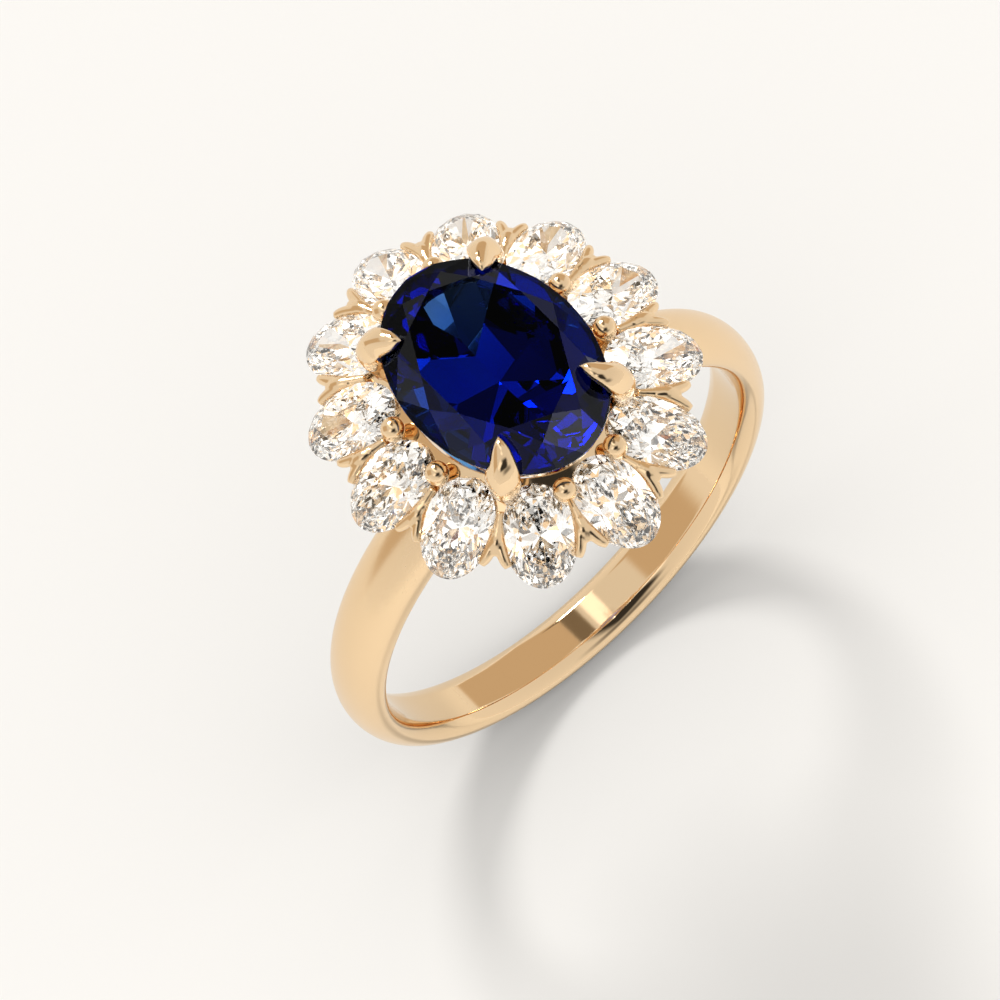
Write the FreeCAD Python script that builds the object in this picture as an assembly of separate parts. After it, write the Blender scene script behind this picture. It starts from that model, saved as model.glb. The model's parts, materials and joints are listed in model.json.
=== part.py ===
import FreeCAD, Part

import math
import os

from FreeCAD import Matrix, Placement, Vector

# A cluster engagement ring: a large oval blue stone held by four talon claws, ringed by twelve
# oval white stones on a domed halo, on a plain comfort-fit gold band.
#
# Frame: millimetres. The origin is the centre of the finger hole, +Y runs along the finger,
# +X runs from shoulder to shoulder and +Z points up through the head.

up = Vector(0, 0, 1)

# --- Band -------------------------------------------------------------------------------------
finger_radius = 8.25
band_radius = (9.20, 9.55, 9.85)  # crown of the band at the bottom, the sides and the head
band_half_width = (1.14, 1.22, 1.26)  # the same three places
band_widest = 0.45  # height of the band's widest line above the finger hole
band_flat = 0.65  # half width of the cylindrical strip that touches the finger
band_sections = 36
section_points = 28

# --- Centre stone -----------------------------------------------------------------------------
centre_half = (3.30, 4.50)  # half width across X and half length along Y
centre_girdle_z = 13.77
centre_crown = 1.05
centre_girdle = 0.14
centre_pavilion = 3.20
centre_table = 0.70  # table size as a share of the girdle
centre_mains = 10

# --- Halo stones ------------------------------------------------------------------------------
halo_count = 12
halo_oval = (4.98, 5.75)  # oval through the centres of the halo stones
halo_z = 11.90
halo_droop = 24.0  # degrees that each stone leans outward
stone_half = (1.75, 1.25)  # half length (radial) and half width
stone_crown = 0.42
stone_girdle = 0.08
stone_pavilion = 1.05
stone_table = 0.60
stone_mains = 8

# --- Centre claws -----------------------------------------------------------------------------
claw_angle = 45.0  # parametric angle on the centre stone's girdle
claw_tip_share = 0.775  # how far in from the girdle the tip reaches, as a share of it
claw_tip_rise = 1.03  # height of the tip above the girdle
claw_bulb_radius = 0.60
claw_stem_radius = 0.38
claw_gap = 1  # the gap of the first quarter that holds a claw
claw_corners = ("back_right", "back_left", "front_left", "front_right")

# --- Bead prongs ------------------------------------------------------------------------------
bead_oval = (3.85, 4.82)
bead_z = 12.78
bead_radius = 0.42
bead_post_radius = 0.25
bead_post_drop = 1.05

# --- Fishtail prongs --------------------------------------------------------------------------
arm_turns = (102.0, 90.0, 78.0, 68.0, 62.0)  # places on the stone's girdle, from its outer end
arm_radius = (0.16, 0.20, 0.21, 0.19, 0.11)
arm_outside = 0.09  # distance of the arm's middle line outside the girdle
arm_height = 0.09  # and above it
web_span = (-0.25, 0.20, 0.60)  # filling between the two arms, outward from the halo oval
web_radius = (0.15, 0.22, 0.13)
stem_radius = (0.19, 0.27, 0.25, 0.24, 0.24)  # from the arms down to the collar
solder_bite = 0.12  # depth that a soldered wire enters the piece it joins

# --- Gallery, collet and collar ---------------------------------------------------------------
gallery_span = (-1.80, 0.42)  # extent each side of the halo oval
gallery_depth = (0.16, 0.62)  # top and bottom, below the halo's girdle surface
seat_clearance = 0.012
# Outside of the collet from its rim down: insets from the centre stone's girdle in X and Y, and drop.
collet_outline = ((0.16, 0.16, 0.20), (0.22, 0.22, 0.64), (0.40, 0.75, 1.19), (0.48, 0.85, 1.69))
collet_wall = 0.38
collar_oval = (2.60, 3.40)
collar_wall = 0.70
collar_z = (9.30, 10.30)


# --- General helpers --------------------------------------------------------------------------
def blend(values, angle):
    """Eases between three values at 0, 90 and 150 degrees from the bottom of the band."""
    bottom, side, top = values
    if angle < 90.0:
        share = angle / 90.0
        return bottom + (side - bottom) * share * share * (3 - 2 * share)
    share = min(1.0, (angle - 90.0) / 60.0)
    return side + (top - side) * share * share * (3 - 2 * share)


def oval_places(rx, ry, count, shift=0.0):
    """Points at equal distances round an oval, each with its outward direction."""
    steps = 7200
    travelled = [0.0]
    for i in range(steps):
        t = 2 * math.pi * (i + 0.5) / steps
        step = math.hypot(rx * math.sin(t), ry * math.cos(t)) * 2 * math.pi / steps
        travelled.append(travelled[-1] + step)
    places = []
    index = 0
    for k in range(count):
        wanted = (k + shift) / count * travelled[-1]
        while travelled[index + 1] <= wanted:
            index += 1
        inside = (wanted - travelled[index]) / (travelled[index + 1] - travelled[index])
        t = 2 * math.pi * (index + inside) / steps
        outward = Vector(math.cos(t) / rx, math.sin(t) / ry, 0).normalize()
        places.append((Vector(rx * math.cos(t), ry * math.sin(t), 0), outward))
    return places


def frame_at(origin, x_axis, z_axis):
    """Placement whose local X and Z run along the given directions."""
    x = Vector(x_axis).normalize()
    z = Vector(z_axis).normalize()
    y = z.cross(x)
    turn = Matrix(x.x, y.x, z.x, origin.x, x.y, y.y, z.y, origin.y, x.z, y.z, z.z, origin.z)
    return Placement(turn)


def oval_edge(rx, ry, z):
    """Elliptical edge in a horizontal plane, whose long axis may be X or Y."""
    if rx >= ry:
        return Part.Ellipse(Vector(0, 0, z), rx, ry).toShape()
    edge = Part.Ellipse(Vector(0, 0, z), ry, rx).toShape()
    edge.rotate(Vector(0, 0, z), Vector(0, 0, 1), 90)
    return edge


def oval_disc(rx, ry, z, height):
    """Elliptical cylinder."""
    face = Part.Face(Part.Wire(oval_edge(rx, ry, z)))
    return face.extrude(Vector(0, 0, height))


def ruled_ring(edges):
    """Solid ring whose straight-sided walls run from each closed edge to the next."""
    faces = []
    for first, second in zip(edges, edges[1:] + edges[:1]):
        faces.append(Part.makeRuledSurface(first, second))
    shell = Part.makeShell(faces)
    shell.sewShape()
    solid = Part.makeSolid(Part.Shell(shell.Faces))
    if solid.Volume < 0:
        solid.reverse()
    return solid


def oval_ring(profile, rx, ry):
    """Solid ring round an oval. The profile is a closed list of (outward offset, height)."""
    return ruled_ring([oval_edge(rx + offset, ry + offset, z) for offset, z in profile])


def tapered_wire(points, radii):
    """Round wire through the points, with a radius at each point, lofted along a smooth path."""
    path = Part.BSplineCurve()
    path.interpolate(points)
    sections = []
    for point, radius in zip(points, radii):
        tangent = Vector(*path.tangent(path.parameter(point))[0])
        sections.append(Part.Wire(Part.Circle(point, tangent, radius).toShape()))
    return Part.makeLoft(sections, True, False)


def placed(shape, placement):
    """Copy of a shape moved by a placement."""
    moved = shape.copy()
    moved.Placement = placement.multiply(moved.Placement)
    return moved


def largest(shape):
    """The biggest solid of a shape, with small offcuts dropped."""
    return max(shape.Solids, key=lambda solid: solid.Volume)


def cut_all(shape, *tools):
    """Takes all the nearby tools away from a shape and keeps its main solid."""
    near = [tool for tool in tools if shape.BoundBox.intersect(tool.BoundBox)]
    return largest(shape.cut(near)) if near else largest(shape)


def quarters(shape):
    """The four mirror images of a piece of the head, one in each quarter."""
    right = shape.mirror(Vector(0, 0, 0), Vector(1, 0, 0))
    both = [shape, right]
    return both + [one.mirror(Vector(0, 0, 0), Vector(0, 1, 0)) for one in both[::-1]]


# --- Stones -----------------------------------------------------------------------------------
def facet_solid(faces):
    """Closed solid from lists of corner points, one list per flat facet."""
    made = []
    for corners in faces:
        made.append(Part.Face(Part.makePolygon(corners + corners[:1])))
    shell = Part.makeShell(made)
    shell.sewShape()
    solid = Part.makeSolid(Part.Shell(shell.Faces))
    if solid.Volume < 0:
        solid.reverse()
    return solid


def at_level(start, end, z):
    """Point on the line through start and end at height z."""
    return start + (end - start) * ((z - start.z) / (end.z - start.z))


def crown_facets(mains, table, height, low):
    """Crown of a brilliant cut on a unit girdle: table, stars, mains and upper girdle facets."""
    half = math.pi / mains
    star = 0.5 + 0.5 * table * math.cos(half)
    star_z = height * (1 - (star * math.cos(half) - table) / (1 - table))

    def at(radius, turn, z):
        return Vector(radius * math.cos(turn), radius * math.sin(turn), z)

    table_ring = [at(table, 2 * half * k, height) for k in range(mains)]
    star_ring = [at(star, 2 * half * (k + 0.5), star_z) for k in range(mains)]
    main_ring = [at(1, 2 * half * k, 0) for k in range(mains)]
    half_ring = [at(1, 2 * half * (k + 0.5), 0) for k in range(mains)]
    normal = (main_ring[0] - star_ring[0]).cross(half_ring[0] - star_ring[0])
    slope = math.hypot(normal.x, 0) / normal.z
    low_main = [at(1 - low / abs(slope), 2 * half * k, low) for k in range(mains)]
    low_half = [at_level(star_ring[k], half_ring[k], low) for k in range(mains)]
    faces = [table_ring]
    rim = []
    for k in range(mains):
        n = (k + 1) % mains
        faces.append([table_ring[k], star_ring[k], table_ring[n]])
        faces.append([table_ring[k], star_ring[k - 1], main_ring[k], star_ring[k]])
        faces.append([star_ring[k], main_ring[k], low_main[k], low_half[k]])
        faces.append([star_ring[k], low_half[k], low_main[n], main_ring[n]])
        rim += [low_main[k], low_half[k]]
    faces.append(rim)
    return faces


def pavilion_facets(mains, depth, high):
    """Pavilion of a brilliant cut on a unit girdle: mains and lower girdle facets."""
    half = math.pi / mains
    low = 0.24
    low_z = -depth * (1 - low * math.cos(half))

    def at(radius, turn, z):
        return Vector(radius * math.cos(turn), radius * math.sin(turn), z)

    culet = Vector(0, 0, -depth)
    low_ring = [at(low, 2 * half * (k + 0.5), low_z) for k in range(mains)]
    main_ring = [at(1, 2 * half * k, 0) for k in range(mains)]
    half_ring = [at(1, 2 * half * (k + 0.5), 0) for k in range(mains)]
    normal = (main_ring[0] - low_ring[0]).cross(half_ring[0] - low_ring[0])
    slope = math.hypot(normal.x, 0) / normal.z
    high_main = [at(1 + high / abs(slope), 2 * half * k, high) for k in range(mains)]
    high_half = [at_level(low_ring[k], half_ring[k], high) for k in range(mains)]
    faces = []
    rim = []
    for k in range(mains):
        n = (k + 1) % mains
        faces.append([culet, low_ring[k], main_ring[k], low_ring[k - 1]])
        faces.append([low_ring[k], high_half[k], high_main[k], main_ring[k]])
        faces.append([low_ring[k], main_ring[n], high_main[n], high_half[k]])
        rim += [high_main[k], high_half[k]]
    faces.append(rim[::-1])
    return faces


def brilliant(rx, ry, mains, table, crown, girdle, pavilion):
    """Oval brilliant: flat facets above and below a smooth oval girdle centred on z = 0."""

    def fitted(faces, lift):
        return [[Vector(p.x * rx, p.y * ry, p.z + lift) for p in face] for face in faces]

    deep = pavilion + girdle
    tall = crown + girdle
    top = facet_solid(fitted(crown_facets(mains, table, crown, -deep), girdle / 2))
    base = facet_solid(fitted(pavilion_facets(mains, pavilion, tall), -girdle / 2))
    body = oval_disc(rx, ry, -deep, deep + tall)
    return largest(body.common(top).common(base))


def make_centre_stone():
    """Large oval stone, laid out with one main facet at each end of its length."""
    half_width, half_length = centre_half
    stone = brilliant(
        half_length,
        half_width,
        centre_mains,
        centre_table,
        centre_crown,
        centre_girdle,
        centre_pavilion,
    )
    return placed(stone, frame_at(Vector(0, 0, centre_girdle_z), Vector(0, 1, 0), up))


def halo_frames():
    """Placement of each halo stone: local X along its length outward, local Z up its axis."""
    droop = math.radians(halo_droop)
    frames = []
    for point, outward in oval_places(*halo_oval, halo_count):
        along = outward * math.cos(droop) - Vector(0, 0, math.sin(droop))
        axis = outward * math.sin(droop) + Vector(0, 0, math.cos(droop))
        frames.append(frame_at(point + Vector(0, 0, halo_z), along, axis))
    return frames


def make_halo_stones():
    stone = brilliant(
        *stone_half, stone_mains, stone_table, stone_crown, stone_girdle, stone_pavilion
    )
    return [placed(stone, frame) for frame in halo_frames()]


# --- Band -------------------------------------------------------------------------------------
def band_section(angle):
    """Rounded cross-section of the band at an angle in degrees from its bottom."""
    radius = blend(band_radius, min(angle, 360.0 - angle))
    width = blend(band_half_width, min(angle, 360.0 - angle))
    middle = finger_radius + band_widest
    # The inner half is an arc whose ends cross the finger hole at the flat strip's edges.
    inner = band_widest / math.sqrt(1 - (band_flat / width) ** 2)
    turn = math.radians(angle)
    outward = Vector(math.sin(turn), 0, -math.cos(turn))
    points = []
    for k in range(section_points):
        a = 2 * math.pi * k / section_points
        rise = math.sin(a) * (radius - middle if math.sin(a) > 0 else inner)
        points.append(outward * (middle + rise) + Vector(0, width * math.cos(a), 0))
    curve = Part.BSplineCurve()
    curve.interpolate(points, PeriodicFlag=True)
    return Part.Wire(curve.toShape())


def make_band():
    """Closed comfort-fit band, with its seam under the head and its inside bored true."""
    half_turn = band_sections // 2
    turns = [360.0 * k / band_sections for k in range(-half_turn, half_turn)]
    sections = [band_section(turn % 360.0) for turn in turns]
    band = Part.makeLoft(sections, True, False, True)
    if band.Volume < 0:
        band.reverse()
    length = 4 * max(band_half_width)
    bore = Part.makeCylinder(finger_radius, length, Vector(0, -length / 2, 0), Vector(0, 1, 0))
    return largest(band.cut(bore))


# --- Head -------------------------------------------------------------------------------------
def make_collar(band):
    """Oval collar under the head, cut to sit astride the band."""
    low, high = collar_z
    half = collar_wall / 2
    ring = oval_ring([(-half, low), (half, low), (half, high), (-half, high)], *collar_oval)
    return largest(ring.cut(band))


def make_collet(stone):
    """Tapered oval cup under the centre stone, with its seat cut to the stone."""
    rx, ry = centre_half
    outer = []
    for inset_x, inset_y, drop in collet_outline:
        outer.append((rx - inset_x, ry - inset_y, centre_girdle_z - drop))
    inner = [(x - collet_wall, y - collet_wall, z) for x, y, z in outer]
    edges = [oval_edge(*row) for row in outer + inner[::-1]]
    return largest(ruled_ring(edges).cut(stone))


def make_claw():
    """Talon claw from the collar, up past the girdle and over the crown to a point."""
    t = math.radians(claw_angle)
    rx, ry = centre_half
    girdle = Vector(rx * math.cos(t), ry * math.sin(t), 0)
    outward = Vector(math.cos(t) / rx, math.sin(t) / ry, 0).normalize()
    foot = Vector(collar_oval[0] * math.cos(t), collar_oval[1] * math.sin(t), 0)
    points = [
        foot + up * (collar_z[1] - solder_bite),
        foot + up * (collar_z[1] + 0.7),
        girdle + outward * 0.04 + up * (centre_girdle_z - 1.60),
        girdle + outward * 0.30 + up * (centre_girdle_z - 0.80),
        girdle + outward * 0.34 + up * (centre_girdle_z - 0.10),
        girdle + outward * 0.14 + up * (centre_girdle_z + 0.45),
        girdle * 0.90 + up * (centre_girdle_z + 0.82),
        girdle * claw_tip_share + up * (centre_girdle_z + claw_tip_rise),
    ]
    stem, bulb = claw_stem_radius, claw_bulb_radius
    radii = [stem * 0.9, stem * 0.9, stem, bulb * 0.80, bulb, bulb * 0.84, bulb * 0.50, 0.03]
    return tapered_wire(points, radii)


def make_gallery():
    """Sloping ring under the halo, which the stone seats are cut into."""
    drop = math.tan(math.radians(halo_droop))
    lean = math.sin(math.radians(halo_droop))
    top, bottom = gallery_depth
    inner, outer = gallery_span
    profile = []
    for offset, depth in ((inner, top), (outer, top), (outer, bottom), (inner, bottom)):
        profile.append((offset - depth * lean, halo_z - offset * drop - depth))
    return oval_ring(profile, *halo_oval)


def seat_tool(frame):
    """Stone outline with a little clearance and an open hole under the culet."""
    grown = brilliant(
        stone_half[0] + seat_clearance,
        stone_half[1] + seat_clearance,
        stone_mains,
        stone_table,
        stone_crown,
        stone_girdle,
        stone_pavilion + 2 * seat_clearance,
    )
    return placed(grown, frame)


def make_bead(place):
    """Small round-topped prong on a post, between the inner ends of two halo stones."""
    point, outward = place
    head = Part.makeSphere(bead_radius, point + Vector(0, 0, bead_z))
    foot = point + Vector(0, 0, bead_z - bead_post_drop)
    post = Part.makeCylinder(bead_post_radius, bead_post_drop, foot)
    return head.fuse(post).removeSplitter()


def tail_arm(frame, side):
    """One arm of a fishtail prong, curving round the girdle of the stone it laps over."""
    length, width = stone_half
    points = []
    for turn in arm_turns:
        t = math.radians(turn)
        along = (length + arm_outside) * math.cos(t)
        across = (width + arm_outside) * math.sin(t) * side
        points.append(frame.multVec(Vector(along, across, arm_height)))
    return tapered_wire(points, arm_radius)


def make_fishtail(place, frame_before, frame_after):
    """Y-shaped outer prong between two stones, on a stem that curves in to the collar."""
    point, outward = place
    drop = math.tan(math.radians(halo_droop))

    def at(offset, height):
        return point + outward * offset + up * (halo_z - offset * drop + height)

    inward = collar_oval[0] + collar_wall / 2 - halo_oval[0]
    points = [
        at(0.22, -0.02),
        at(0.10, -0.42),
        at(-0.42, -1.20),
        at(-1.25, -2.12),
        at(inward - solder_bite, -2.72),
    ]
    prong = tapered_wire(points, stem_radius)
    web = tapered_wire([at(offset, arm_height) for offset in web_span], web_radius)
    for part in (web, tail_arm(frame_before, 1), tail_arm(frame_after, -1)):
        prong = prong.fuse(part)
    return prong


def build():
    """All the pieces by node name, each one fitted to its neighbours."""
    band = make_band()
    centre = make_centre_stone()
    stones = make_halo_stones()
    frames = halo_frames()
    seats = [seat_tool(frame) for frame in frames]
    gaps = oval_places(*halo_oval, halo_count, 0.5)
    bead_gaps = oval_places(*bead_oval, halo_count, 0.5)
    collar = make_collar(band)

    # The head is the same in its four quarters, so each wire is fitted once and mirrored.
    claws, beads, tails = [], {}, {}
    for gap in range(halo_count // 4):
        near = (seats[gap], seats[gap + 1])
        images = (gap, halo_count // 2 - 1 - gap, halo_count // 2 + gap, halo_count - 1 - gap)
        tail = make_fishtail(gaps[gap], frames[gap], frames[gap + 1])
        tail = cut_all(tail, collar, *near)
        for image, piece in zip(images, quarters(tail)):
            tails[image] = piece
        if gap == claw_gap:
            claws = quarters(cut_all(make_claw(), collar, centre, tail, *near))
            continue
        for image, piece in zip(images, quarters(cut_all(make_bead(bead_gaps[gap]), *near))):
            beads[image] = piece

    collet = cut_all(make_collet(centre), *claws)
    wires = [*claws, *beads.values(), *tails.values()]
    gallery = cut_all(make_gallery(), *seats, collet, *wires)

    nodes = {
        "band": band,
        "collar": collar,
        "centre_collet": collet,
        "halo_gallery": gallery,
        "centre_stone": centre,
    }
    for corner, claw in zip(claw_corners, claws):
        nodes[f"claw_{corner}"] = claw
    for gap in sorted(beads):
        nodes[f"bead_prong_{gap + 1:02d}"] = beads[gap]
    for gap in sorted(tails):
        nodes[f"fishtail_prong_{gap + 1:02d}"] = tails[gap]
    for index, stone in enumerate(stones):
        nodes[f"halo_stone_{index + 1:02d}"] = stone
    return nodes


os.makedirs("parts", exist_ok=True)
for node, shape in build().items():
    shape.exportStep(f"parts/{node}.step")
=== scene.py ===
import json
import math

import bmesh
import bpy
from mathutils import Matrix, Vector


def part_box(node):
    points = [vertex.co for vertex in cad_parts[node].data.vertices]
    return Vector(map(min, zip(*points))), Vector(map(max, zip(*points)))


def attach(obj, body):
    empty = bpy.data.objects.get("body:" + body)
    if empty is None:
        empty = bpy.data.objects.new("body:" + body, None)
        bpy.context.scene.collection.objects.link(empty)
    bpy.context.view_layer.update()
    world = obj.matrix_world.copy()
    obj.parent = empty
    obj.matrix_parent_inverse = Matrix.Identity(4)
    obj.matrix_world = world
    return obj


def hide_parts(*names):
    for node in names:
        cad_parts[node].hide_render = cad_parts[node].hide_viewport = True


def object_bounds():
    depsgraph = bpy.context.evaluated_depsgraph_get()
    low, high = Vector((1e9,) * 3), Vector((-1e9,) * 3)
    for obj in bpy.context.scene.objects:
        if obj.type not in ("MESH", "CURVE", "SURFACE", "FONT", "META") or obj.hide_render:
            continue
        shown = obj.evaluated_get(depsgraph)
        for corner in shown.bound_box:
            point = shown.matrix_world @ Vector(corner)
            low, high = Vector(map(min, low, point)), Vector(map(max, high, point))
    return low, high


# Looks for the cluster engagement ring. Everything is in metres in the ring's own frame: +Y along
# the finger, +X from shoulder to shoulder, +Z up through the head.

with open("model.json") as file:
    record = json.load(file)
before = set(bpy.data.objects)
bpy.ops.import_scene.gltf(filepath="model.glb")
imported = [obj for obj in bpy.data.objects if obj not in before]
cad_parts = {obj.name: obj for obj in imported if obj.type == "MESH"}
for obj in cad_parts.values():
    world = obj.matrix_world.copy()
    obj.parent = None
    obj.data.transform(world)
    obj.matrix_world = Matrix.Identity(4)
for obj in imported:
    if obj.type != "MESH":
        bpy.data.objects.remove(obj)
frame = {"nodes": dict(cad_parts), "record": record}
cad_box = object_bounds()
mm = 0.001
up = Vector((0, 0, 1))

# --- Sizes read from the frame ----------------------------------------------------------------
finger_radius = frame["record"]["mounts"][0]["dims"]["r_mm"] * mm
strip_half = frame["record"]["mounts"][0]["dims"]["length_mm"] * mm / 2
halo_count = 12
band_widest = 0.45 * mm
halo_droop = math.radians(24.0)
halo_oval = (4.98 * mm, 5.75 * mm)
halo_z = 11.90 * mm
girdle_z = 13.77 * mm
claw_corners = {"back_right": 1, "back_left": 4, "front_left": 7, "front_right": 10}

# --- View and light ---------------------------------------------------------------------------
view_aim = Vector((-0.58, 1.88, 0.70)) * mm
view_distance = 229.1 * mm
view_azimuth = math.radians(-23.8)
view_elevation = math.radians(64.7)
view_roll = math.radians(-19.2)
lens_length = 235.3
sun_azimuth = math.radians(167.0)
sun_elevation = math.radians(49.0)
sun_spread = math.radians(15.0)
sun_strength = 1.18
paper = (0.965, 0.939, 0.896)
floor_colour = (0.895, 0.885, 0.873)
wall_light = 0.91  # level of the room as it lights the floor
room_map = 256  # width of the light map of the room, whose cards are all large and soft
haze = 0.02  # roughness of the white stones' polish

# What each kind of surface sees of the room: a level at the horizon and one straight up, and soft
# cards as (azimuth, elevation, half width, half height, edge softness, level inside the card).
gold_room = (0.96, 0.84)
gold_cards = (
    (-24.0, 64.0, 0.32, 0.32, 0.35, 0.04),
    (-5.0, 36.0, 0.30, 0.16, 0.70, 0.25),
    (180.0, 68.0, 0.07, 0.30, 0.20, 1.6),
    (-75.0, 62.0, 0.14, 0.24, 0.35, 1.3),
)
tan_cards = (
    (132.0, 34.0, 0.46, 0.58, 0.06, 0.66),
    (152.0, 56.0, 0.07, 0.32, 0.10, 0.22),
    (-131.0, 30.0, 0.34, 0.46, 0.08, 0.66),
)
tan_light = (1.0, 0.80, 0.58)
paper_light = (1.0, 0.97, 0.935)
diamond_room = (1.15, 1.45)
diamond_cards = (
    (20.0, 62.0, 0.22, 0.60, 0.20, 2.7),
    (140.0, 48.0, 0.16, 0.45, 0.20, 2.5),
    (-100.0, 38.0, 0.16, 0.45, 0.20, 2.4),
    (-24.0, 66.0, 0.17, 0.17, 0.25, 0.18),
    (75.0, 40.0, 0.14, 0.40, 0.20, 0.28),
    (-60.0, 25.0, 0.14, 0.40, 0.20, 0.28),
    (175.0, 30.0, 0.12, 0.45, 0.20, 0.28),
)
warm_cards = (
    (115.0, 50.0, 0.22, 0.50, 0.20, 1.0),
    (-135.0, 45.0, 0.22, 0.50, 0.20, 1.0),
    (-10.0, 30.0, 0.30, 0.16, 0.20, 1.0),
)
warm_light = (1.0, 0.68, 0.38)
sapphire_room = (0.38, 0.16)
sapphire_cards = (
    (10.0, 52.0, 0.30, 0.26, 0.20, 3.6),
    (-80.0, 60.0, 0.26, 0.26, 0.20, 3.0),
    (105.0, 42.0, 0.26, 0.30, 0.20, 3.2),
    (-150.0, 30.0, 0.24, 0.26, 0.20, 2.6),
    (170.0, 50.0, 0.20, 0.20, 0.20, 3.0),
    *((40.0 * k - 150.0, 28.0 + 17.0 * (k % 3), 0.10, 0.12, 0.20, 4.0) for k in range(9)),
)
mirror_room = (0.30, 0.10)
mirror_cards = (
    (22.0, 38.0, 0.45, 0.36, 0.20, 0.75),
    (157.0, 66.0, 0.45, 0.45, 0.20, 0.02),
)


# --- General helpers --------------------------------------------------------------------------
def direction(azimuth, elevation):
    """Unit vector towards a place seen at this azimuth and elevation. Azimuth 0 is towards -Y."""
    flat = math.cos(elevation)
    return Vector((math.sin(azimuth) * flat, -math.cos(azimuth) * flat, math.sin(elevation)))


def make_piece(name, mesh, material, slot, *nodes):
    """Puts a finished mesh in the scene in place of its CAD nodes."""
    piece = bpy.data.objects.new(name, mesh)
    bpy.context.scene.collection.objects.link(piece)
    mesh.materials.clear()
    mesh.materials.append(material)
    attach(piece, "root")
    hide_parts(*nodes)
    return piece


def mesh_from(name, points, faces, smooth=True):
    """Mesh from points and faces, with its faces turned outward."""
    mesh = bpy.data.meshes.new(name)
    mesh.from_pydata(points, [], faces)
    shape = bmesh.new()
    shape.from_mesh(mesh)
    bmesh.ops.remove_doubles(shape, verts=shape.verts, dist=1e-7)
    bmesh.ops.recalc_face_normals(shape, faces=shape.faces)
    for face in shape.faces:
        face.smooth = smooth
    shape.to_mesh(mesh)
    shape.free()
    return mesh


def loft(rings, closed=False):
    """Points and faces of a skin over rings of equal length. Open skins get their ends filled."""
    size = len(rings[0])
    points = [point for ring in rings for point in ring]
    faces = []
    count = len(rings)
    for i in range(count if closed else count - 1):
        here, after = i * size, (i + 1) % count * size
        for j in range(size):
            k = (j + 1) % size
            faces.append((here + j, here + k, after + k, after + j))
    if not closed:
        faces.append(tuple(range(size))[::-1])
        faces.append(tuple((count - 1) * size + j for j in range(size)))
    return points, faces


def smooth_path(points, steps):
    """Points along a Catmull-Rom curve through the given values, which may be vectors."""
    padded = [points[0] * 2 - points[1], *points, points[-1] * 2 - points[-2]]
    path = []
    for i in range(1, len(padded) - 2):
        a, b, c, d = padded[i - 1 : i + 3]
        for step in range(steps):
            t = step / steps
            path.append(
                (b * 2 + (c - a) * t + (a * 2 - b * 5 + c * 4 - d) * t * t + (b * 3 - a - c * 3 + d) * t**3) / 2
            )
    return path + [points[-1]]


def tube(path, widths, depths, outward, ridge=2.0, sides=32):
    """Rings round a path. Widths run across the outward direction and depths along it."""
    rings = []
    count = len(path)
    for i, point in enumerate(path):
        tangent = (path[min(i + 1, count - 1)] - path[max(i - 1, 0)]).normalized()
        across = tangent.cross(outward).normalized()
        rise = across.cross(tangent)
        ring = []
        for k in range(sides):
            turn = math.tau * k / sides
            sine, cosine = math.sin(turn), math.cos(turn)
            shape = ridge if sine > 0 else 2.0
            high = (1 - abs(cosine) ** shape) ** (1 / shape)
            ring.append(point + across * cosine * widths[i] + rise * math.copysign(high, sine) * depths[i])
        rings.append(ring)
    return rings


def merge_meshes(name, parts, voxel, rounds):
    """One closed skin round overlapping parts, softened as if cast and then polished."""
    shape = bmesh.new()
    for part in parts:
        shape.from_mesh(part)
    mesh = bpy.data.meshes.new(name)
    shape.to_mesh(mesh)
    shape.free()
    holder = bpy.data.objects.new(name, mesh)
    bpy.context.scene.collection.objects.link(holder)
    remesh = holder.modifiers.new("skin", "REMESH")
    remesh.mode = "VOXEL"
    remesh.voxel_size = voxel
    smooth = holder.modifiers.new("polish", "SMOOTH")
    smooth.factor = 0.5
    smooth.iterations = rounds
    return baked(holder)


def cut_away(mesh, cutters):
    """Takes the cutters' volume out of a mesh, as a stone setter cuts a seat."""
    holder = bpy.data.objects.new(mesh.name, mesh)
    bpy.context.scene.collection.objects.link(holder)
    for cutter in cutters:
        cut = holder.modifiers.new("seat", "BOOLEAN")
        cut.operation = "DIFFERENCE"
        cut.solver = "EXACT"
        cut.object = cutter
    return baked(holder)


def baked(holder):
    """Applies a temporary object's modifiers and removes the object."""
    bpy.context.view_layer.update()
    done = holder.evaluated_get(bpy.context.evaluated_depsgraph_get())
    mesh = bpy.data.meshes.new_from_object(done)
    bpy.data.objects.remove(holder)
    return mesh


def soften(mesh, sharpest):
    """Smooth shading, with real corners kept crisp."""
    for face in mesh.polygons:
        face.use_smooth = True
    mesh.set_sharp_from_angle(angle=math.radians(sharpest))
    return mesh


def oval_places(rx, ry, count, shift=0.0):
    """Points at equal distances round an oval, each with its outward direction."""
    steps = 7200
    travelled = [0.0]
    for i in range(steps):
        t = math.tau * (i + 0.5) / steps
        step = math.hypot(rx * math.sin(t), ry * math.cos(t)) * math.tau / steps
        travelled.append(travelled[-1] + step)
    places = []
    index = 0
    for k in range(count):
        wanted = (k + shift) / count * travelled[-1]
        while travelled[index + 1] <= wanted:
            index += 1
        t = math.tau * (index + 0.5) / steps
        outward = Vector((math.cos(t) / rx, math.sin(t) / ry, 0)).normalized()
        places.append((Vector((rx * math.cos(t), ry * math.sin(t), 0)), outward))
    return places


def frame_at(origin, x_axis, z_axis):
    """Matrix whose local X and Z run along the given directions."""
    x, z = x_axis.normalized(), z_axis.normalized()
    y = z.cross(x)
    return Matrix.Translation(origin) @ Matrix((x, y, z)).transposed().to_4x4()


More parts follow.
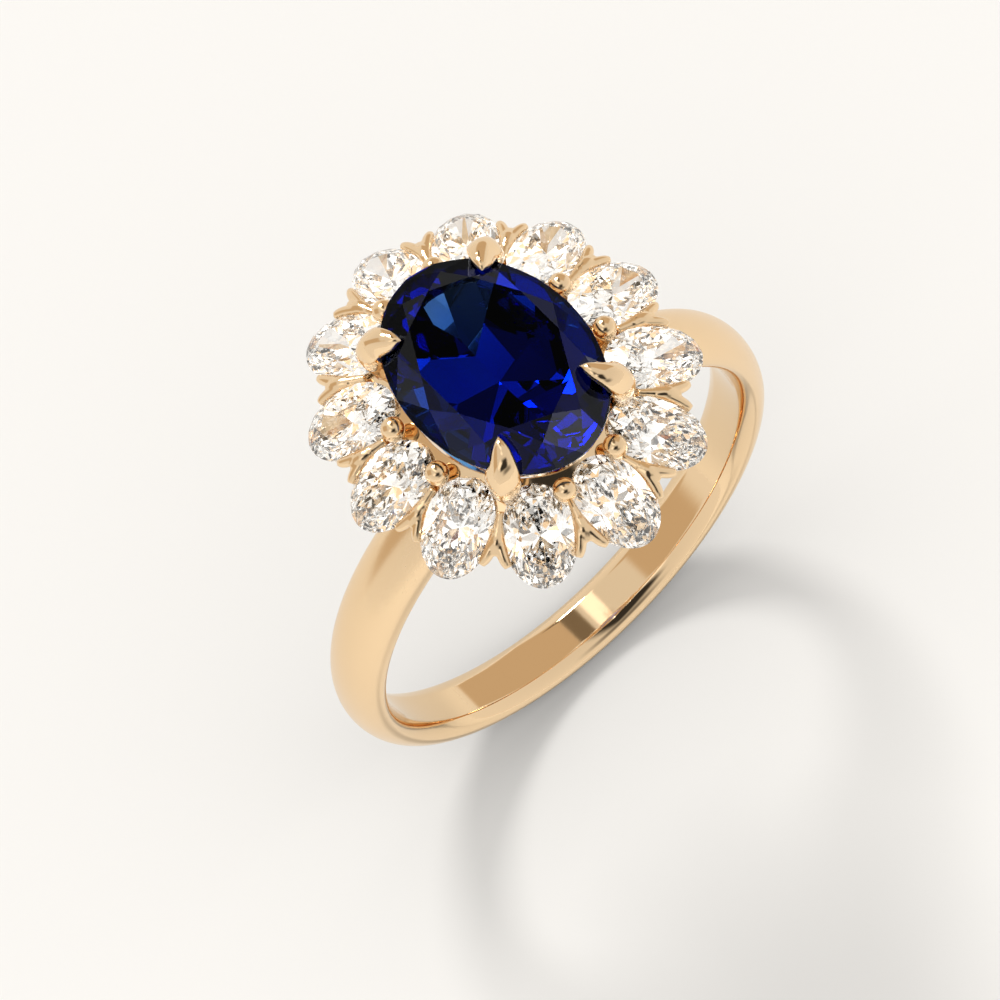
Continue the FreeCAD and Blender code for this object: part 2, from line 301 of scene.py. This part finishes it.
# --- Node helpers -----------------------------------------------------------------------------
class Nodes:
    """A small wrapper that adds nodes and links them in one call."""

    def __init__(self, tree):
        self.tree = tree
        self.tree.nodes.clear()

    def add(self, kind, inputs=None, **settings):
        node = self.tree.nodes.new(kind)
        for name, value in settings.items():
            setattr(node, name, value)
        for name, value in (inputs or {}).items():
            if isinstance(value, bpy.types.NodeSocket):
                self.tree.links.new(value, node.inputs[name])
            else:
                node.inputs[name].default_value = value
        return node

    def math(self, operation, first, second=0.0, clamp=False):
        return self.add("ShaderNodeMath", {0: first, 1: second}, operation=operation, use_clamp=clamp).outputs[0]

    def dot(self, first, second):
        node = self.add("ShaderNodeVectorMath", {0: first, 1: second}, operation="DOT_PRODUCT")
        return node.outputs["Value"]

    def noise(self, where, scale, detail=2.0):
        node = self.add("ShaderNodeTexNoise", {"Vector": where, "Scale": scale, "Detail": detail})
        return node.outputs["Fac"]

    def remap(self, value, low, high, to_low, to_high, kind="LINEAR"):
        inputs = {"Value": value, "From Min": low, "From Max": high, "To Min": to_low, "To Max": to_high}
        return self.add("ShaderNodeMapRange", inputs, interpolation_type=kind).outputs["Result"]

    def mix(self, share, first, second):
        node = self.add("ShaderNodeMix", {0: share, 6: first, 7: second}, data_type="RGBA")
        return node.outputs[2]


def new_material(name):
    material = bpy.data.materials.new(name)
    material.use_nodes = True
    return material, Nodes(material.node_tree)


def through_blue(nodes):
    """1 for light paths that arrive through or off the blue stone, which is perfectly smooth. Gold and paper use
    it to paint shade.
    """
    path = nodes.add("ShaderNodeLightPath").outputs
    return nodes.math("SUBTRACT", path["Is Singular Ray"], path["Is Camera Ray"], clamp=True)


# --- Materials --------------------------------------------------------------------------------
def make_gold(name, softness, edge_radius, satin=0.0):
    """Polished yellow gold with fine wheel marks. Satin is added roughness on the band's outside. Through or off
    the blue stone the gold is painted near black, a painted shade.
    """
    material, nodes = new_material(name)
    where = nodes.add("ShaderNodeTexCoord").outputs["Object"]
    broad = nodes.noise(where, 180.0)
    stretched = nodes.add("ShaderNodeMapping", {"Vector": where, "Scale": (1.0, 7.0, 1.0)}).outputs["Vector"]
    marks = nodes.noise(stretched, 5200.0, 3.0)
    unshaded_gold = nodes.mix(broad, (0.835, 0.615, 0.372, 1), (0.865, 0.650, 0.412, 1))
    # Painted shade: gold seen through or off the blue stone is painted near black in place of the shade inside
    # the setting.
    colour = nodes.mix(through_blue(nodes), unshaded_gold, (0.06, 0.06, 0.08, 1))
    polish = nodes.remap(broad, 0.3, 0.7, softness * 0.8, softness * 1.25)
    rough = nodes.math("ADD", polish, nodes.remap(marks, 0.35, 0.75, 0.0, 0.02))
    from_axis = nodes.add("ShaderNodeVectorMath", {0: where, 1: (1.0, 0.0, 1.0)}, operation="MULTIPLY")
    radius = nodes.add("ShaderNodeVectorMath", {0: from_axis.outputs[0]}, operation="LENGTH").outputs["Value"]
    worn = nodes.remap(radius, finger_radius + 0.35 * mm, finger_radius + 1.0 * mm, 0.0, satin, "SMOOTHSTEP")
    rough = nodes.math("ADD", rough, worn)
    rounded = nodes.add("ShaderNodeBevel", {"Radius": edge_radius}, samples=4).outputs["Normal"]
    bump = nodes.add(
        "ShaderNodeBump", {"Strength": 0.02, "Distance": 0.00002, "Height": marks, "Normal": rounded}
    ).outputs["Normal"]
    metal = nodes.add(
        "ShaderNodeBsdfPrincipled",
        {"Base Color": colour, "Metallic": 1.0, "Roughness": rough, "Normal": bump},
    )
    nodes.add("ShaderNodeOutputMaterial", {"Surface": metal.outputs[0]})
    return material


def make_diamond():
    """Colourless stone: clear facets, a faint warm tint and a trace of polishing haze."""
    material, nodes = new_material("diamond")
    where = nodes.add("ShaderNodeTexCoord").outputs["Object"]
    tint = nodes.mix(nodes.noise(where, 900.0), (1.0, 0.992, 0.98, 1), (0.99, 0.995, 1.0, 1))
    rough = nodes.remap(nodes.noise(where, 2500.0), 0.3, 0.8, haze, 1.3 * haze)
    glass = nodes.add("ShaderNodeBsdfGlass", {"Color": tint, "Roughness": rough, "IOR": 2.417})
    nodes.add("ShaderNodeOutputMaterial", {"Surface": glass.outputs[0]})
    return material


def make_sapphire():
    """Deep royal blue stone that absorbs light along its depth, with faint straight zoning."""
    material, nodes = new_material("sapphire")
    where = nodes.add("ShaderNodeTexCoord").outputs["Object"]
    zones = nodes.add("ShaderNodeTexWave", {"Vector": where, "Scale": 260.0, "Distortion": 1.5}).outputs["Fac"]
    tint = nodes.mix(zones, (0.86, 0.90, 1.0, 1), (0.94, 0.96, 1.0, 1))
    glass = nodes.add("ShaderNodeBsdfGlass", {"Color": tint, "Roughness": 0.0, "IOR": 1.77})
    depth = nodes.add("ShaderNodeVolumeAbsorption", {"Color": (0.0, 0.43, 0.80, 1), "Density": 1000.0})
    nodes.add("ShaderNodeOutputMaterial", {"Surface": glass.outputs[0], "Volume": depth.outputs[0]})
    return material


def make_paper():
    """Warm white paper with a barely visible tooth. Seen through the blue stone it gets a painted shade: lit in
    front of the head, near black from there on.
    """
    material, nodes = new_material("paper")
    where = nodes.add("ShaderNodeTexCoord").outputs["Object"]
    grain = nodes.noise(where, 4000.0)
    low = (*[c * 0.995 for c in floor_colour], 1)
    colour = nodes.mix(grain, low, (*floor_colour, 1))
    across = nodes.add("ShaderNodeSeparateXYZ", {0: where}).outputs["Y"]
    # Painted shade through the blue stone: the paper is lit for Y below -6 mm and near black past -3 mm.
    lit_share = nodes.remap(across, -0.006, -0.003, 0.95, 0.06, "SMOOTHSTEP")
    dim = nodes.mix(lit_share, (0.0, 0.0, 0.0, 1), colour)
    shown = nodes.mix(through_blue(nodes), colour, dim)
    matte = nodes.add("ShaderNodeBsdfDiffuse", {"Color": shown, "Roughness": 0.6})
    nodes.add("ShaderNodeOutputMaterial", {"Surface": matte.outputs[0]})
    return material


# --- Stones -----------------------------------------------------------------------------------
class Cut:
    """Proportions of an oval brilliant, in metres. A keeled pavilion has one slope all round."""

    def __init__(self, half_length, half_width, mains, table, crown, girdle, pavilion, halves, keeled):
        self.half_length = half_length
        self.half_width = half_width
        self.mains = mains
        self.table = table  # table width as a share of the girdle's
        self.crown = crown
        self.girdle = girdle
        self.pavilion = pavilion  # depth below the girdle at the stone's narrow sides
        self.halves = halves  # how far down the pavilion the lower girdle facets reach
        self.keeled = keeled

    def grown(self, amount):
        return Cut(
            self.half_length + amount,
            self.half_width + amount,
            self.mains,
            self.table,
            self.crown,
            self.girdle + 2 * amount,
            self.pavilion + amount,
            self.halves,
            self.keeled,
        )


def plane_through(a, b, c, side):
    """Point and normal of the plane through three points, facing up (1) or down (-1)."""
    normal = (b - a).cross(c - a).normalized()
    return a, normal if normal.z * side > 0 else -normal


def crown_planes(cut):
    """Table, star, main and upper girdle facets of the crown."""
    half = math.pi / cut.mains
    star = 0.5 + 0.5 * cut.table * math.cos(half)
    star_height = cut.crown * (1 - (star * math.cos(half) - cut.table) / (1 - cut.table))

    def at(share, step, height):
        turn = half * step
        x, y = cut.half_length * share * math.cos(turn), cut.half_width * share * math.sin(turn)
        return Vector((x, y, height + cut.girdle / 2))

    planes = [(at(0, 0, cut.crown), Vector((0, 0, 1)))]
    for k in range(0, 2 * cut.mains, 2):
        tip, left, right = at(1, k, 0), at(star, k - 1, star_height), at(star, k + 1, star_height)
        top, after = at(cut.table, k, cut.crown), at(cut.table, k + 2, cut.crown)
        planes.append(plane_through(top, right, after, 1))
        planes.append(plane_through(top, left, tip, 1))
        planes.append(plane_through(right, tip, at(1, k + 1, 0), 1))
        planes.append(plane_through(right, at(1, k + 1, 0), at(1, k + 2, 0), 1))
    return planes


def pointed_planes(cut):
    """Pavilion stretched from a round one: its mains meet in a point under the stone's middle."""
    half = math.pi / cut.mains
    share = 1 - cut.halves

    def at(size, step, height):
        turn = half * step
        x, y = cut.half_length * size * math.cos(turn), cut.half_width * size * math.sin(turn)
        return Vector((x, y, height - cut.girdle / 2))

    culet = at(0, 0, -cut.pavilion)
    ridge_height = -cut.pavilion * (1 - share * math.cos(half))
    planes = []
    for k in range(0, 2 * cut.mains, 2):
        ridge, before = at(share, k + 1, ridge_height), at(share, k - 1, ridge_height)
        planes.append(plane_through(culet, before, ridge, -1))
        planes.append(plane_through(ridge, at(1, k, 0), at(1, k + 1, 0), -1))
        planes.append(plane_through(ridge, at(1, k + 1, 0), at(1, k + 2, 0), -1))
    return planes


def keeled_planes(cut):
    """Pavilion whose mains share one slope, so that they meet in a short keel."""
    half = math.pi / cut.mains
    long_side, short_side = cut.half_length, cut.half_width
    low = -cut.girdle / 2
    slope = math.atan2(cut.pavilion, short_side)
    depth = cut.pavilion * cut.halves
    run = short_side * cut.halves

    def girdle_point(step):
        return Vector((long_side * math.cos(half * step), short_side * math.sin(half * step), low))

    def outward(step):
        turn = half * step
        return Vector((math.cos(turn) / long_side, math.sin(turn) / short_side, 0)).normalized()

    def ridge_point(step):
        """Where the two mains beside a girdle place meet at the lower girdle facets' depth."""
        one, two = outward(step - 1), outward(step + 1)
        reach_one = girdle_point(step - 1).dot(one) - run
        reach_two = girdle_point(step + 1).dot(two) - run
        size = one.x * two.y - one.y * two.x
        x = (reach_one * two.y - reach_two * one.y) / size
        y = (one.x * reach_two - two.x * reach_one) / size
        return Vector((x, y, low - depth))

    planes = []
    for k in range(0, 2 * cut.mains, 2):
        normal = outward(k) * math.sin(slope) - up * math.cos(slope)
        ridge = ridge_point(k + 1)
        planes.append((girdle_point(k), normal))
        planes.append(plane_through(ridge, girdle_point(k), girdle_point(k + 1), -1))
        planes.append(plane_through(ridge, girdle_point(k + 1), girdle_point(k + 2), -1))
    return planes


def gem_mesh(name, cut):
    """Oval brilliant cut from an oval blank, one flat facet at a time."""
    blank = bmesh.new()
    rim = 8 * cut.mains
    turns = [math.tau * (k + 0.5) / rim for k in range(rim)]
    for z in (-cut.half_length * 1.5, cut.crown * 2):
        for turn in turns:
            blank.verts.new((cut.half_length * math.cos(turn), cut.half_width * math.sin(turn), z))
    verts = list(blank.verts)
    for k in range(rim):
        n = (k + 1) % rim
        blank.faces.new((verts[k], verts[n], verts[rim + n], verts[rim + k]))
    blank.faces.new(verts[:rim][::-1])
    blank.faces.new(verts[rim:])
    pavilion = keeled_planes(cut) if cut.keeled else pointed_planes(cut)
    for point, normal in crown_planes(cut) + pavilion:
        parts = blank.verts[:] + blank.edges[:] + blank.faces[:]
        bmesh.ops.bisect_plane(blank, geom=parts, dist=1e-8, plane_co=point, plane_no=normal, clear_outer=True)
        open_edges = [edge for edge in blank.edges if edge.is_boundary]
        if open_edges:
            bmesh.ops.holes_fill(blank, edges=open_edges, sides=0)
    bmesh.ops.recalc_face_normals(blank, faces=blank.faces)
    for face in blank.faces:
        face.smooth = abs(face.normal.z) < 1e-3
    mesh = bpy.data.meshes.new(name)
    blank.to_mesh(mesh)
    blank.free()
    return mesh


def centre_place():
    """The centre stone's own frame: local X along its length, local Z up."""
    return frame_at(Vector((0, 0, girdle_z)), Vector((0, 1, 0)), up)


def make_centre_stone(material):
    """Large oval stone, with a main facet at each end of its length."""
    mesh = gem_mesh("centre_stone", centre_cut)
    mesh.transform(centre_place())
    return make_piece("centre_gem", mesh, material, "blue_gem", "centre_stone")


def halo_frames():
    """Placement of each halo stone: local X along its length outward, local Z up its axis."""
    places = oval_places(*halo_oval, halo_count)
    frames = []
    for point, outward in places:
        along = outward * math.cos(halo_droop) - up * math.sin(halo_droop)
        axis = outward * math.sin(halo_droop) + up * math.cos(halo_droop)
        frames.append(frame_at(point + up * halo_z, along, axis))
    return frames


def make_cutters():
    """Slightly grown copies of the stones, used only to cut seats in the prongs."""
    places = [(halo_cut, place) for place in halo_frames()] + [(centre_cut, centre_place())]
    cutters = []
    for cut, place in places:
        mesh = gem_mesh("seat", cut.grown(0.015 * mm))
        mesh.transform(place)
        cutter = bpy.data.objects.new("seat", mesh)
        bpy.context.scene.collection.objects.link(cutter)
        cutters.append(cutter)
    return cutters


def make_halo_stones(material):
    """Twelve oval stones that lean outward round the centre stone."""
    for index, place in enumerate(halo_frames()):
        node = f"halo_stone_{index + 1:02d}"
        mesh = gem_mesh(node, halo_cut)
        mesh.transform(place)
        make_piece(f"halo_gem_{index + 1:02d}", mesh, material, "white_gem", node)


# --- Band -------------------------------------------------------------------------------------
def ease(share):
    return share * share * (3 - 2 * share)


def blend(values, turn):
    """Eases between three values at 0, 90 and 150 degrees from the bottom of the band."""
    bottom, side, top = values
    degrees = math.degrees(min(turn, math.tau - turn))
    if degrees < 90.0:
        return bottom + (side - bottom) * ease(degrees / 90.0)
    return side + (top - side) * ease(min(1.0, (degrees - 90.0) / 60.0))


def make_band(material):
    """Comfort-fit band with a crisp but softened edge where it meets the finger."""
    low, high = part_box("band")
    radii = (-low.z, high.x, high.z)
    widths = (1.14 * mm, 1.22 * mm, 1.26 * mm)
    rings = []
    for step in range(360):
        turn = math.tau * step / 360
        outward = Vector((math.sin(turn), 0, -math.cos(turn)))
        radius, width = blend(radii, turn), blend(widths, turn)
        middle = finger_radius + band_widest
        inner = band_widest / math.sqrt(1 - (strip_half / width) ** 2)
        ring = []
        for k in range(96):
            a = math.tau * k / 96
            rise = math.sin(a) * (radius - middle if math.sin(a) > 0 else inner)
            height = max(middle + rise, finger_radius)
            ring.append(outward * height + Vector((0, width * math.cos(a), 0)))
        rings.append(ring)
    mesh = mesh_from("band_form", *loft(rings, closed=True))
    return make_piece("shank", mesh, material, "yellow_gold", "band")


# --- Prongs -----------------------------------------------------------------------------------
def make_claws(material, cutters):
    """Four talon claws: a full bulb outside the girdle and a ridged point over the crown."""
    turn = math.radians(45.0)
    low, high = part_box("centre_stone")
    for corner, gap in claw_corners.items():
        sx = 1 if "right" in corner else -1
        sy = 1 if "back" in corner else -1
        girdle = Vector((high.x * math.cos(turn) * sx, high.y * math.sin(turn) * sy, 0))
        outward = Vector((math.cos(turn) / high.x * sx, math.sin(turn) / high.y * sy, 0)).normalized()
        foot = Vector((1.84 * mm * sx, 2.40 * mm * sy, 0))
        stations = [
            (foot + up * 10.15 * mm, 0.34, 0.34),
            (foot + up * 11.00 * mm, 0.34, 0.34),
            (girdle + outward * 0.04 * mm + up * (girdle_z - 1.60 * mm), 0.38, 0.36),
            (girdle + outward * 0.30 * mm + up * (girdle_z - 0.85 * mm), 0.44, 0.40),
            (girdle + outward * 0.34 * mm + up * (girdle_z - 0.30 * mm), 0.58, 0.50),
            (girdle + outward * 0.26 * mm + up * (girdle_z + 0.18 * mm), 0.61, 0.52),
            (girdle + outward * 0.04 * mm + up * (girdle_z + 0.56 * mm), 0.54, 0.44),
            (girdle * 0.895 + up * (girdle_z + 0.83 * mm), 0.39, 0.30),
            (girdle * 0.825 + up * (girdle_z + 0.97 * mm), 0.21, 0.18),
            (girdle * 0.775 + up * (girdle_z + 1.03 * mm), 0.02, 0.02),
        ]
        path = smooth_path([place for place, wide, deep in stations], 8)
        widths = [v.x * mm for v in smooth_path([Vector((wide, 0, 0)) for p, wide, deep in stations], 8)]
        depths = [v.x * mm for v in smooth_path([Vector((deep, 0, 0)) for p, wide, deep in stations], 8)]
        rings = tube(path, widths, depths, outward, ridge=1.55)
        mesh = mesh_from(f"claw_{corner}", *loft(rings))
        near = [cutters[gap], cutters[(gap + 1) % halo_count], cutters[-1]]
        mesh = soften(cut_away(mesh, near), 38.0)
        make_piece(f"talon_{corner}", mesh, material, "yellow_gold", f"claw_{corner}")


def make_beads(material, cutters):
    """Eight round-topped prongs between the inner ends of the halo stones."""
    profile = [
        (0.0, -1.1), (0.30, -1.1), (0.33, -0.55), (0.37, -0.28), (0.41, -0.10), (0.42, 0.04),
        (0.395, 0.18), (0.335, 0.29), (0.24, 0.365), (0.12, 0.405), (0.0, 0.415),
    ]
    places = oval_places(3.85 * mm, 4.82 * mm, halo_count, 0.5)
    for gap, (point, outward) in enumerate(places):
        if gap in claw_corners.values():
            continue
        outline = smooth_path([Vector((r, 0, z)) for r, z in profile], 4)
        rings = []
        for station in outline[1:-1]:
            ring = []
            for k in range(36):
                turn = math.tau * k / 36
                around = Vector((math.cos(turn), math.sin(turn), 0)) * station.x
                ring.append(point + (around + up * station.z) * mm + up * 12.78 * mm)
            rings.append(ring)
        mesh = mesh_from(f"bead_{gap + 1:02d}", *loft(rings))
        mesh = soften(cut_away(mesh, [cutters[gap], cutters[(gap + 1) % halo_count]]), 38.0)
        node = f"bead_prong_{gap + 1:02d}"
        make_piece(f"bead_{gap + 1:02d}", mesh, material, "yellow_gold", node)


def make_fishtails(material, cutters):
    """Twelve Y-shaped prongs whose arms curve round the outer girdles of two stones."""
    frames = halo_frames()
    drop = math.tan(halo_droop)
    turns = (102.0, 90.0, 78.0, 68.0, 61.0)
    arm_radii = (0.16, 0.20, 0.21, 0.19, 0.13)
    for gap, (point, outward) in enumerate(oval_places(*halo_oval, halo_count, 0.5)):
        after = (gap + 1) % halo_count

        def at(offset, height):
            return point + outward * offset * mm + up * (halo_z + (height - offset * drop) * mm)

        def round_wire(points, radii):
            path = smooth_path(points, 6)
            sizes = [v.x * mm for v in smooth_path([Vector((r, 0, 0)) for r in radii], 6)]
            upright = abs((path[1] - path[0]).normalized().z) > 0.9
            rings = tube(path, sizes, sizes, outward if upright else up, sides=20)
            return mesh_from("wire", *loft(rings))

        parts = []
        for place, side in ((frames[gap], 1), (frames[after], -1)):
            points = []
            for turn in turns:
                t = math.radians(turn)
                points.append(place @ (Vector((1.84 * math.cos(t), 1.34 * math.sin(t) * side, 0.09)) * mm))
            parts.append(round_wire(points, arm_radii))
        web = [at(-0.75, 0.02), at(-0.25, 0.09), at(0.22, 0.12), at(0.62, 0.10)]
        parts.append(round_wire(web, (0.13, 0.20, 0.31, 0.20)))
        parts.append(
            round_wire(
                [at(0.22, -0.02), at(0.10, -0.42), at(-0.42, -1.20), at(-1.25, -2.12), at(-2.10, -2.72)],
                (0.19, 0.27, 0.25, 0.24, 0.24),
            )
        )
        mesh = merge_meshes(f"fishtail_{gap + 1:02d}", parts, 0.035 * mm, 6)
        mesh = soften(cut_away(mesh, [cutters[gap], cutters[after]]), 50.0)
        make_piece(f"fishtail_{gap + 1:02d}", mesh, material, "yellow_gold", f"fishtail_prong_{gap + 1:02d}")


# --- Floor, camera and light ------------------------------------------------------------------
def make_floor(material):
    """Plain floor that the band stands on."""
    low = cad_box[0].z
    half = 3.0
    corners = [(-half, -half, low), (half, -half, low), (half, half, low), (-half, half, low)]
    mesh = mesh_from("floor", corners, [(0, 1, 2, 3)], smooth=False)
    floor = bpy.data.objects.new("floor", mesh)
    bpy.context.scene.collection.objects.link(floor)
    mesh.materials.append(material)


def make_camera():
    """Long lens looking down on the head from the front left."""
    data = bpy.data.cameras.new("camera")
    data.lens = lens_length
    data.clip_start = 0.01
    camera = bpy.data.objects.new("camera", data)
    bpy.context.scene.collection.objects.link(camera)
    back = direction(view_azimuth, view_elevation)
    camera.location = view_aim + back * view_distance
    level = (-back).to_track_quat("-Z", "Y")
    camera.rotation_mode = "QUATERNION"
    camera.rotation_quaternion = level @ Matrix.Rotation(view_roll, 3, "Z").to_quaternion()
    bpy.context.scene.camera = camera


def make_sun():
    """Large soft key light, high behind the ring."""
    data = bpy.data.lights.new("key", "SUN")
    data.energy = sun_strength
    data.angle = sun_spread
    data.color = (1.0, 0.985, 0.955)
    sun = bpy.data.objects.new("key", data)
    bpy.context.scene.collection.objects.link(sun)
    sun.rotation_mode = "QUATERNION"
    sun.rotation_quaternion = direction(sun_azimuth, sun_elevation).to_track_quat("Z", "Y")


def card(nodes, ray, azimuth, elevation, width, height, soft):
    """Mask of a soft-edged rectangular card in the room, as seen along a ray."""
    centre = direction(math.radians(azimuth), math.radians(elevation))
    side = centre.cross(up).normalized()
    top = side.cross(centre)
    ahead = nodes.math("MAXIMUM", nodes.dot(ray, centre), 0.001)
    masks = []
    for axis, size in ((side, width), (top, height)):
        offset = nodes.math("ABSOLUTE", nodes.math("DIVIDE", nodes.dot(ray, axis), ahead))
        masks.append(nodes.remap(offset, size * (1 - soft), size * (1 + soft), 1.0, 0.0, "SMOOTHSTEP"))
    facing = nodes.remap(nodes.dot(ray, centre), 0.0, 0.05, 0.0, 1.0)
    return nodes.math("MULTIPLY", nodes.math("MULTIPLY", *masks), facing)


def room_level(nodes, ray, levels, cards):
    """Brightness of the room along a ray: a gentle rise towards the ceiling, then the cards."""
    rise = nodes.dot(ray, (0.0, 0.0, 1.0))
    level = nodes.remap(rise, -0.1, 1.0, *levels, "SMOOTHSTEP")
    for azimuth, elevation, width, height, soft, inside in cards:
        mask = card(nodes, ray, azimuth, elevation, width, height, soft)
        kept = nodes.math("MULTIPLY", level, nodes.math("SUBTRACT", 1.0, mask))
        level = nodes.math("ADD", kept, nodes.math("MULTIPLY", mask, inside))
    return level


def card_mask(nodes, ray, cards):
    """1 where a ray meets any of the cards."""
    covered = 0.0
    for azimuth, elevation, width, height, soft, inside in cards:
        mask = card(nodes, ray, azimuth, elevation, width, height, soft)
        covered = nodes.math("MAXIMUM", covered, mask)
    return covered


def make_room():
    """Pale studio room. The cards round the camera are seen by each kind of surface on its own."""
    world = bpy.data.worlds.new("room")
    bpy.context.scene.world = world
    world.use_nodes = True
    world.cycles.sampling_method = "MANUAL"
    world.cycles.sample_map_resolution = room_map
    nodes = Nodes(world.node_tree)
    ray = nodes.add("ShaderNodeTexCoord").outputs["Generated"]
    path = nodes.add("ShaderNodeLightPath").outputs
    singular, through = path["Is Singular Ray"], path["Is Transmission Ray"]

    def either(share, first, second):
        kept = nodes.math("MULTIPLY", first, nodes.math("SUBTRACT", 1.0, share))
        return nodes.math("ADD", kept, nodes.math("MULTIPLY", second, share))

    polished = either(
        through,
        room_level(nodes, ray, gold_room, tan_cards + gold_cards),
        room_level(nodes, ray, diamond_room, diamond_cards),
    )
    blue = either(
        through,
        room_level(nodes, ray, mirror_room, mirror_cards),
        room_level(nodes, ray, sapphire_room, sapphire_cards),
    )
    level = either(singular, polished, blue)
    level = either(path["Is Diffuse Ray"], level, wall_light)
    white = (1.0, 0.985, 0.955, 1)
    tan = nodes.mix(card_mask(nodes, ray, tan_cards), (*paper_light, 1), (*tan_light, 1))
    warm = nodes.mix(card_mask(nodes, ray, warm_cards), white, (*warm_light, 1))
    colour = nodes.mix(through, tan, warm)
    colour = nodes.mix(nodes.math("MAXIMUM", singular, path["Is Diffuse Ray"]), colour, white)
    lit = nodes.add("ShaderNodeBackground", {"Color": colour, "Strength": level})
    seen = nodes.add("ShaderNodeBackground", {"Color": (*paper, 1), "Strength": 1.0})
    both = nodes.add(
        "ShaderNodeMixShader", {0: path["Is Camera Ray"], 1: lit.outputs[0], 2: seen.outputs[0]}
    )
    nodes.add("ShaderNodeOutputWorld", {"Surface": both.outputs[0]})


def set_light_paths():
    """Enough bounces for light to find its way out of the stones, and plain colours."""
    scene = bpy.context.scene
    scene.cycles.max_bounces = 24
    scene.cycles.transmission_bounces = 24
    scene.cycles.glossy_bounces = 12
    scene.cycles.diffuse_bounces = 3
    scene.cycles.caustics_refractive = False
    scene.cycles.caustics_reflective = False
    scene.cycles.sample_clamp_indirect = 8.0
    scene.view_settings.view_transform = "Standard"


def finish_carried_nodes(material):
    """The gallery, cup and collar keep their CAD shape and get the gold."""
    for name, node in frame["nodes"].items():
        if name not in ("collar", "centre_collet", "halo_gallery"):
            continue
        for slot in node.material_slots:
            slot.material = material


centre_cut = Cut(4.50 * mm, 3.30 * mm, 10, 0.70, 1.05 * mm, 0.14 * mm, 3.19 * mm, 0.52, keeled=True)
halo_cut = Cut(1.75 * mm, 1.25 * mm, 8, 0.58, 0.42 * mm, 0.08 * mm, 1.05 * mm, 0.76, keeled=False)
gold_plain = make_gold("gold_polished", 0.05, 0.00002, satin=0.20)
gold_edges = make_gold("gold_soft_edges", 0.06, 0.00005)
make_centre_stone(make_sapphire())
make_halo_stones(make_diamond())
make_band(gold_plain)
cutters = make_cutters()
make_claws(gold_edges, cutters)
make_beads(gold_edges, cutters)
make_fishtails(gold_edges, cutters)
for cutter in cutters:
    bpy.data.objects.remove(cutter)
finish_carried_nodes(gold_edges)
make_floor(make_paper())
make_camera()
make_sun()
make_room()
set_light_paths()
